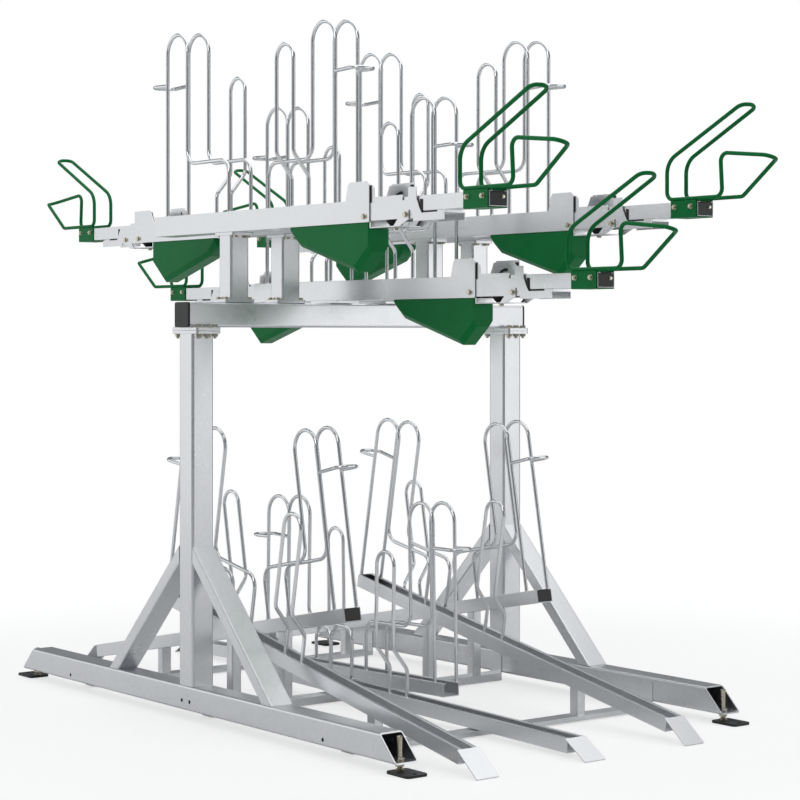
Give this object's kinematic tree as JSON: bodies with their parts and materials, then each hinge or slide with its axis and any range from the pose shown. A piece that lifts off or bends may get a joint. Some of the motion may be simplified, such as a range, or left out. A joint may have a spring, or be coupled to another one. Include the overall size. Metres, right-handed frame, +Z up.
{
  "type": "two tier bike rack",
  "caption": "Two tier bike rack: sliding and tilting upper trays with spring lift housings over fixed lower wheel channels with hoops.",
  "frame": {"origin": "on the floor, under the middle of the top beam", "axes": "+Z up, X along the top beam, Y along the bicycles: the first, third and fifth places are entered from -Y and the others from +Y"},
  "size_m": [1.3966, 3.1904, 2.2183],
  "materials": {
    "galvanised_steel": "hot-dip galvanised, satin",
    "green_coat": "powder coat, semi-gloss",
    "black_plastic": "moulded, matt"
  },
  "bodies": {
    "frame": {"base_beam_left": "galvanised_steel", "post_left": "galvanised_steel", "beam_cap_left": "black_plastic", "foot_front_left": "black_plastic", "brace_front_left": "galvanised_steel", "foot_back_left": "black_plastic", "brace_back_left": "galvanised_steel", "base_beam_right": "galvanised_steel", "post_right": "galvanised_steel", "beam_cap_right": "black_plastic", "foot_front_right": "black_plastic", "brace_front_right": "galvanised_steel", "foot_back_right": "black_plastic", "brace_back_right": "galvanised_steel", "top_beam": "galvanised_steel", "tie_centre": "galvanised_steel", "tie_front": "galvanised_steel", "tie_back": "galvanised_steel", "short_post_1": "galvanised_steel", "short_post_2": "galvanised_steel", "short_post_5": "galvanised_steel", "short_post_6": "galvanised_steel", "lower_tray_1": "galvanised_steel", "rail_1": "galvanised_steel", "spring_housing_1": "green_coat", "lower_tray_2": "galvanised_steel", "rail_2": "galvanised_steel", "spring_housing_2": "green_coat", "lower_tray_3": "galvanised_steel", "rail_3": "galvanised_steel", "spring_housing_3": "green_coat", "lower_tray_4": "galvanised_steel", "rail_4": "galvanised_steel", "spring_housing_4": "green_coat", "lower_tray_5": "galvanised_steel", "rail_5": "galvanised_steel", "spring_housing_5": "green_coat", "lower_tray_6": "galvanised_steel", "rail_6": "galvanised_steel", "spring_housing_6": "green_coat"},
    "tilt_cradle_1": {"cradle_1": "galvanised_steel"},
    "sliding_tray_1": {"upper_tray_1": "galvanised_steel", "handle_1": "green_coat"},
    "tilt_cradle_2": {"cradle_2": "galvanised_steel"},
    "sliding_tray_2": {"upper_tray_2": "galvanised_steel", "handle_2": "green_coat"},
    "tilt_cradle_3": {"cradle_3": "galvanised_steel"},
    "sliding_tray_3": {"upper_tray_3": "galvanised_steel", "handle_3": "green_coat"},
    "tilt_cradle_4": {"cradle_4": "galvanised_steel"},
    "sliding_tray_4": {"upper_tray_4": "galvanised_steel", "handle_4": "green_coat"},
    "tilt_cradle_5": {"cradle_5": "galvanised_steel"},
    "sliding_tray_5": {"upper_tray_5": "galvanised_steel", "handle_5": "green_coat"},
    "tilt_cradle_6": {"cradle_6": "galvanised_steel"},
    "sliding_tray_6": {"upper_tray_6": "galvanised_steel", "handle_6": "green_coat"}
  },
  "joints": [
    {"name": "tilt_1", "type": "hinge", "parent": "frame", "child": "tilt_cradle_1", "pos_m": [-0.5, -0.955, 1.561], "axis": [1, 0, 0], "range_deg": [0, 40]},
    {"name": "slide_1", "type": "slide", "parent": "tilt_cradle_1", "child": "sliding_tray_1", "axis": [0, -1, 0], "range_m": [0, 1.199]},
    {"name": "tilt_2", "type": "hinge", "parent": "frame", "child": "tilt_cradle_2", "pos_m": [-0.3, 0.955, 1.561], "axis": [-1, 0, 0], "range_deg": [0, 40]},
    {"name": "slide_2", "type": "slide", "parent": "tilt_cradle_2", "child": "sliding_tray_2", "axis": [0, 1, 0], "range_m": [0, 1.199]},
    {"name": "tilt_3", "type": "hinge", "parent": "frame", "child": "tilt_cradle_3", "pos_m": [-0.1, -0.955, 1.3446], "axis": [1, 0, 0], "range_deg": [0, 40]},
    {"name": "slide_3", "type": "slide", "parent": "tilt_cradle_3", "child": "sliding_tray_3", "axis": [0, -1, 0], "range_m": [0, 1.199]},
    {"name": "tilt_4", "type": "hinge", "parent": "frame", "child": "tilt_cradle_4", "pos_m": [0.1, 0.955, 1.3446], "axis": [-1, 0, 0], "range_deg": [0, 40]},
    {"name": "slide_4", "type": "slide", "parent": "tilt_cradle_4", "child": "sliding_tray_4", "axis": [0, 1, 0], "range_m": [0, 1.199]},
    {"name": "tilt_5", "type": "hinge", "parent": "frame", "child": "tilt_cradle_5", "pos_m": [0.3, -0.955, 1.561], "axis": [1, 0, 0], "range_deg": [0, 40]},
    {"name": "slide_5", "type": "slide", "parent": "tilt_cradle_5", "child": "sliding_tray_5", "axis": [0, -1, 0], "range_m": [0, 1.199]},
    {"name": "tilt_6", "type": "hinge", "parent": "frame", "child": "tilt_cradle_6", "pos_m": [0.5, 0.955, 1.561], "axis": [-1, 0, 0], "range_deg": [0, 40]},
    {"name": "slide_6", "type": "slide", "parent": "tilt_cradle_6", "child": "sliding_tray_6", "axis": [0, 1, 0], "range_m": [0, 1.199]}
  ]
}
